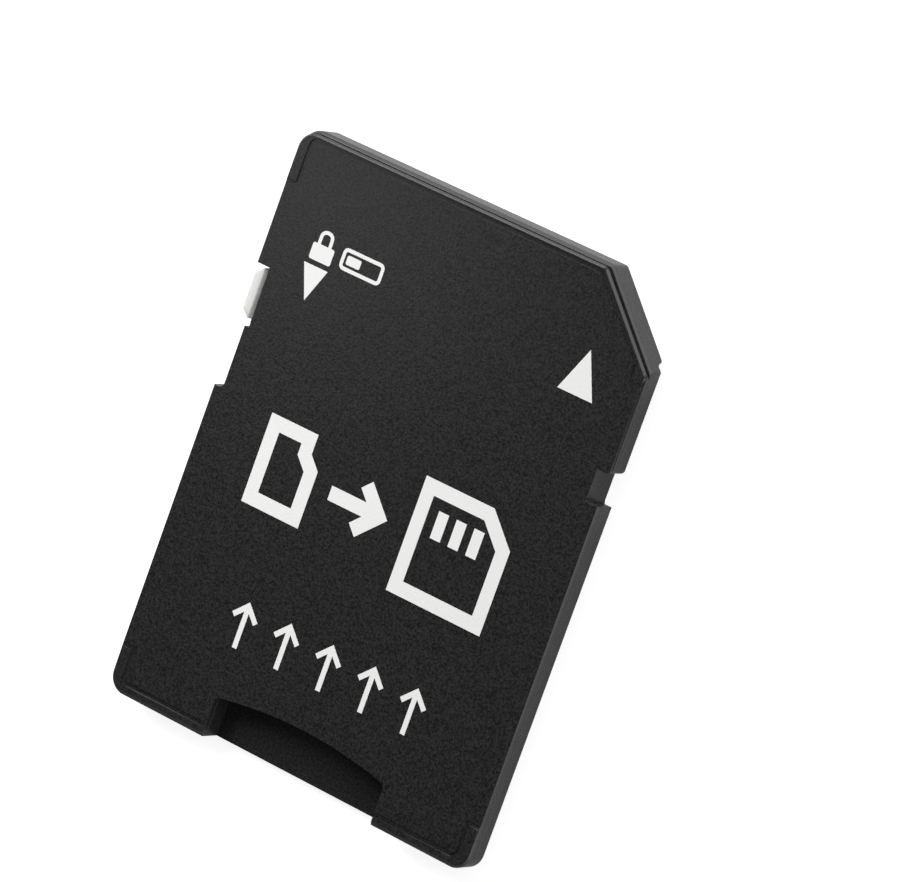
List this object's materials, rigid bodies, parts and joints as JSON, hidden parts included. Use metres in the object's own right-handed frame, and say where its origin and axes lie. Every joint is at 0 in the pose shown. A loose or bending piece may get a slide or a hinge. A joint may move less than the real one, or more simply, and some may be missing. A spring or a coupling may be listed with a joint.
{
  "type": "memory card adapter",
  "caption": "Flat card-shaped adapter with a rear slot for a smaller card, side lock slider and recessed gold contact pads on its underside.",
  "frame": {"origin": "on the contact face, under the middle of the card's outline", "axes": "+X across the card towards the cut corner's side, +Y along it towards the contacts, +Z from the contact face up to the label face"},
  "size_m": [0.024, 0.032, 0.0021],
  "materials": {
    "base_plastic": "fine matte moulded grain",
    "cover_plastic": "fine matte moulded grain with white pad print",
    "slider_plastic": "smooth light grey",
    "carrier_plastic": "smooth dark brown",
    "contact_metal": "pale gold plate",
    "spring_steel": "bright rolled strip"
  },
  "bodies": {
    "case": {"bottom_shell": "base_plastic", "top_shell": "cover_plastic", "terminal_carrier": "carrier_plastic", "terminal_pad_9": "contact_metal", "terminal_pad_1": "contact_metal", "terminal_pad_2": "contact_metal", "ground_terminal_pads_3_and_6": "contact_metal", "terminal_pad_4": "contact_metal", "terminal_pad_5": "contact_metal", "terminal_pad_7": "contact_metal", "terminal_pad_8": "contact_metal", "card_detent_spring": "spring_steel"},
    "slider": {"lock_slider": "slider_plastic"}
  },
  "joints": [
    {"name": "lock_slide", "type": "slide", "parent": "case", "child": "slider", "axis": [0, -1, 0], "range_m": [0, 0.0032]}
  ]
}
